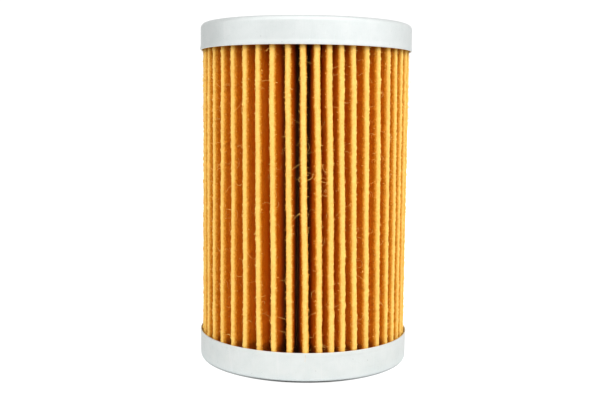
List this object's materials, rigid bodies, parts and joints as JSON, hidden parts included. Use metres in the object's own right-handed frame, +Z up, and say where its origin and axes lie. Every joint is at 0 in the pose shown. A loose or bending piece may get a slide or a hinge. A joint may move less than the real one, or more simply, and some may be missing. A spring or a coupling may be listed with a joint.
{
  "type": "oil filter element",
  "caption": "Cylindrical cartridge oil filter element: pleated paper between two pressed steel end caps, with a rubber outlet seal on top and a sprung bypass valve in the base.",
  "frame": {"origin": "centre of the valve end cap's resting face, which is the lowest point of the part", "axes": "+Z runs up the element's axis, from the bypass valve to the outlet seal, and the outlet spigot leaves along it; X and Y are across, with the paper's seam clip at the +Y side"},
  "size_m": [0.0412, 0.0412, 0.0659],
  "materials": {
    "tinned_steel": "satin",
    "filter_paper": "matte",
    "zinc_steel": "satin",
    "seal_rubber": "matte",
    "potting_sealant": "satin",
    "spring_steel": "satin"
  },
  "bodies": {
    "filter_element": {"outlet_end_cap": "tinned_steel", "valve_end_cap": "tinned_steel", "pleated_paper": "filter_paper", "seam_clip": "zinc_steel", "centre_tube": "zinc_steel", "outlet_sealant": "potting_sealant", "valve_sealant": "potting_sealant", "outlet_seal": "seal_rubber", "valve_cage": "zinc_steel", "valve_spring": "spring_steel"},
    "bypass_valve": {"valve_disc": "zinc_steel", "valve_gasket": "seal_rubber", "gasket_washer": "zinc_steel", "valve_rivet": "zinc_steel"}
  },
  "joints": [
    {"name": "bypass_lift", "type": "slide", "parent": "filter_element", "child": "bypass_valve", "axis": [0, 0, 1], "range_m": [0, 0.0032], "stiffness_N_per_m": 1490, "springref_m": -0.003, "deforming": ["valve_spring"]}
  ]
}
